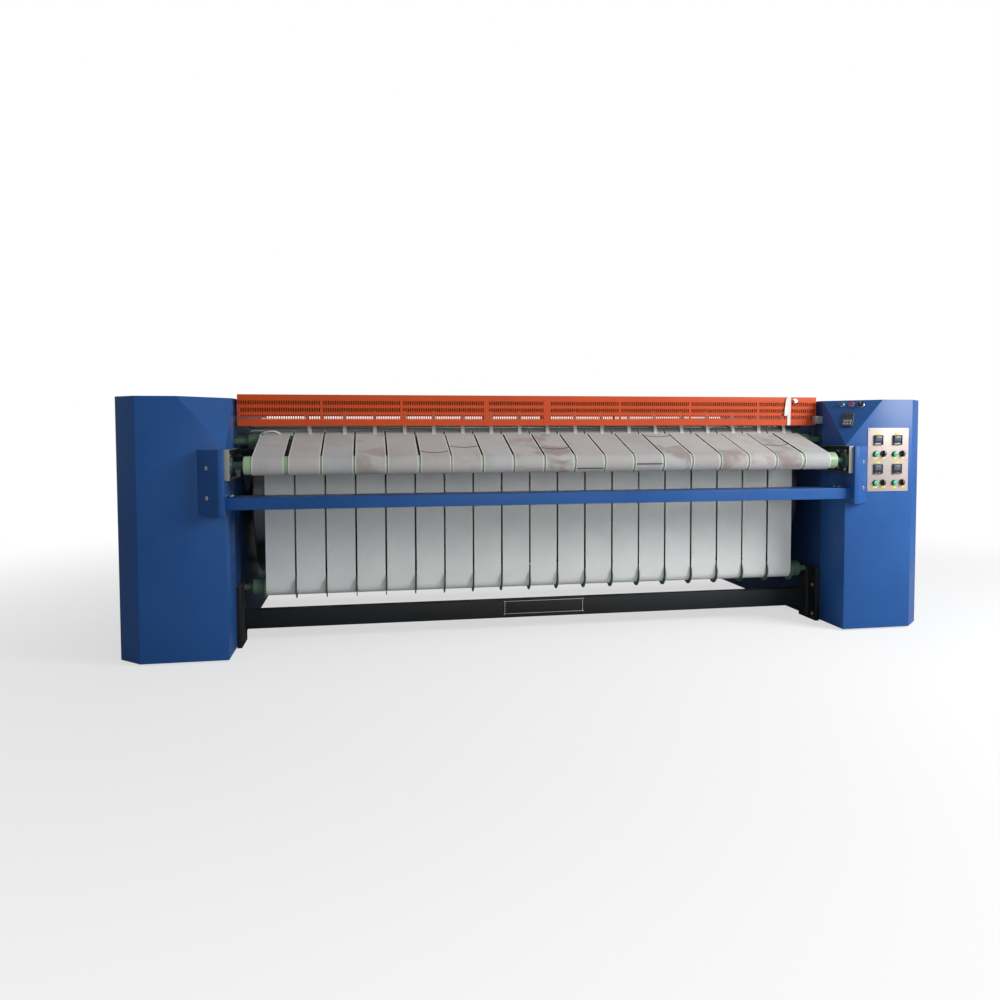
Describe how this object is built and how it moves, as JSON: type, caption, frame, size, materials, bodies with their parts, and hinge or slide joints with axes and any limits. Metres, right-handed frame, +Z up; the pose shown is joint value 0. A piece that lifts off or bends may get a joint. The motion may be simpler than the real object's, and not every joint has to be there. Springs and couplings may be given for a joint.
{
  "type": "flatwork ironer",
  "caption": "Industrial flatwork ironer with a belt feed table, heated drum wrapped by ironing belts, swinging hand guard, delivery chute and end cabinets with controls.",
  "frame": {"origin": "centre of the bounding box on the floor", "axes": "+X along the drum towards the cabinet with the controls, +Y from the feed side to the delivery side, +Z up"},
  "size_m": [4.36, 1.745, 1.3268],
  "materials": {
    "cabinet_blue": "semi-gloss coated sheet",
    "frame_black": "satin paint",
    "belt_fabric": "woven, stained by use",
    "tape_fabric": "woven cotton tape",
    "drum_steel": "polished by use",
    "roller_pale": "satin paint",
    "roller_green": "satin paint",
    "guard_orange": "semi-gloss coated sheet",
    "bearing_cast": "painted casting",
    "bright_steel": "zinc plated",
    "stainless": "brushed along its length",
    "display_dark": "smoked window",
    "button_green": "glossy",
    "button_red": "glossy",
    "knob_black": "satin",
    "bezel_chrome": "polished",
    "keypad_grey": "satin",
    "switch_grey": "satin paint",
    "foot_rubber": "matt"
  },
  "bodies": {
    "machine": {"control_panel": "stainless", "cover_bolts": "bright_steel", "drum_bearings": "bearing_cast", "exit_chute": "stainless", "facet_bezels": "bezel_chrome", "feed_belts": "belt_fabric", "feed_roller_bearings": "bearing_cast", "front_beam": "frame_black", "front_rail": "cabinet_blue", "guard_pivots": "bright_steel", "guide_tapes": "tape_fabric", "ironing_belts": "belt_fabric", "keypad": "keypad_grey", "left_arm_cover": "cabinet_blue", "left_front_cover": "cabinet_blue", "left_inner_wall": "cabinet_blue", "left_post": "frame_black", "left_rear_cover": "cabinet_blue", "left_roller_bracket": "frame_black", "left_side_frame": "frame_black", "left_side_panels": "cabinet_blue", "left_top_cover": "cabinet_blue", "levelling_feet": "foot_rubber", "limit_switch": "switch_grey", "rear_beam": "frame_black", "right_arm_cover": "cabinet_blue", "right_front_cover": "cabinet_blue", "right_inner_wall": "cabinet_blue", "right_post": "frame_black", "right_rear_cover": "cabinet_blue", "right_roller_bracket": "frame_black", "right_side_frame": "frame_black", "right_side_panels": "cabinet_blue", "right_top_cover": "cabinet_blue", "shaft_bearings": "bearing_cast", "table_bed": "frame_black", "tape_bar": "bright_steel", "tape_rod": "bright_steel", "zone_button_bezels": "knob_black", "zone_displays": "display_dark"},
    "drum": {"drum": "drum_steel"},
    "feed_roller": {"feed_roller": "roller_pale"},
    "table_roller": {"table_roller": "roller_green"},
    "entry_roller": {"entry_roller": "roller_green"},
    "lower_roller": {"lower_roller": "roller_green"},
    "exit_roller": {"exit_roller": "roller_green"},
    "return_roller": {"return_roller": "roller_green"},
    "zone_button_1": {"zone_button_1": "button_green"},
    "zone_button_2": {"zone_button_2": "button_green"},
    "zone_button_3": {"zone_button_3": "button_green"},
    "zone_button_4": {"zone_button_4": "button_green"},
    "start_button": {"start_button": "button_green"},
    "stop_button": {"stop_button": "button_red"},
    "zone_knob_1": {"zone_knob_1": "knob_black"},
    "zone_knob_2": {"zone_knob_2": "knob_black"},
    "zone_knob_3": {"zone_knob_3": "knob_black"},
    "zone_knob_4": {"zone_knob_4": "knob_black"},
    "mode_switch": {"mode_switch": "knob_black"},
    "hand_guard": {"hand_guard": "guard_orange", "looped_tape": "tape_fabric"}
  },
  "joints": [
    {"name": "drum_spin", "type": "hinge", "parent": "machine", "child": "drum", "pos_m": [0, 0.0725, 0.76], "axis": [1, 0, 0], "continuous": true},
    {"name": "feed_roller_spin", "type": "hinge", "parent": "machine", "child": "feed_roller", "pos_m": [0, -0.8035, 0.965], "axis": [1, 0, 0], "continuous": true},
    {"name": "table_roller_spin", "type": "hinge", "parent": "machine", "child": "table_roller", "pos_m": [0, -0.4825, 1.078], "axis": [1, 0, 0], "continuous": true},
    {"name": "entry_roller_spin", "type": "hinge", "parent": "machine", "child": "entry_roller", "pos_m": [0, -0.3915, 1.09], "axis": [1, 0, 0], "continuous": true},
    {"name": "lower_roller_spin", "type": "hinge", "parent": "machine", "child": "lower_roller", "pos_m": [0, -0.3915, 0.296], "axis": [1, 0, 0], "continuous": true},
    {"name": "exit_roller_spin", "type": "hinge", "parent": "machine", "child": "exit_roller", "pos_m": [0, 0.5675, 0.9], "axis": [1, 0, 0], "continuous": true},
    {"name": "return_roller_spin", "type": "hinge", "parent": "machine", "child": "return_roller", "pos_m": [0, 0.5675, 0.296], "axis": [1, 0, 0], "continuous": true},
    {"name": "hand_guard_swing", "type": "hinge", "parent": "machine", "child": "hand_guard", "pos_m": [0, -0.4305, 1.29], "axis": [1, 0, 0], "range_deg": [0, 5]},
    {"name": "zone_button_1_press", "type": "slide", "parent": "machine", "child": "zone_button_1", "axis": [0, 1, 0], "range_m": [0, 0.004], "stiffness_N_per_m": 400},
    {"name": "zone_knob_1_turn", "type": "hinge", "parent": "machine", "child": "zone_knob_1", "pos_m": [1.883, -0.7805, 0.998], "axis": [0, 1, 0], "range_deg": [0, 90]},
    {"name": "zone_button_2_press", "type": "slide", "parent": "machine", "child": "zone_button_2", "axis": [0, 1, 0], "range_m": [0, 0.004], "stiffness_N_per_m": 400},
    {"name": "zone_knob_2_turn", "type": "hinge", "parent": "machine", "child": "zone_knob_2", "pos_m": [2.002, -0.7805, 0.998], "axis": [0, 1, 0], "range_deg": [0, 90]},
    {"name": "zone_button_3_press", "type": "slide", "parent": "machine", "child": "zone_button_3", "axis": [0, 1, 0], "range_m": [0, 0.004], "stiffness_N_per_m": 400},
    {"name": "zone_knob_3_turn", "type": "hinge", "parent": "machine", "child": "zone_knob_3", "pos_m": [1.883, -0.7805, 0.835], "axis": [0, 1, 0], "range_deg": [0, 90]},
    {"name": "zone_button_4_press", "type": "slide", "parent": "machine", "child": "zone_button_4", "axis": [0, 1, 0], "range_m": [0, 0.004], "stiffness_N_per_m": 400},
    {"name": "zone_knob_4_turn", "type": "hinge", "parent": "machine", "child": "zone_knob_4", "pos_m": [2.002, -0.7805, 0.835], "axis": [0, 1, 0], "range_deg": [0, 90]},
    {"name": "start_button_press", "type": "slide", "parent": "machine", "child": "start_button", "axis": [0.6212, 0.5652, -0.5429], "range_m": [0, 0.004], "stiffness_N_per_m": 400},
    {"name": "stop_button_press", "type": "slide", "parent": "machine", "child": "stop_button", "axis": [0.6212, 0.5652, -0.5429], "range_m": [0, 0.004], "stiffness_N_per_m": 400},
    {"name": "mode_switch_turn", "type": "hinge", "parent": "machine", "child": "mode_switch", "pos_m": [1.78826, -0.70607, 1.27597], "axis": [0.6212, 0.5652, -0.5429], "range_deg": [0, 90]}
  ],
  "couplings": [
    {"joint": "feed_roller_spin", "follows": "drum_spin", "ratio": -9.617},
    {"joint": "table_roller_spin", "follows": "drum_spin", "ratio": -13.294},
    {"joint": "entry_roller_spin", "follows": "drum_spin", "ratio": -9.617},
    {"joint": "lower_roller_spin", "follows": "drum_spin", "ratio": -9.617},
    {"joint": "exit_roller_spin", "follows": "drum_spin", "ratio": -9.617},
    {"joint": "return_roller_spin", "follows": "drum_spin", "ratio": -9.617}
  ]
}
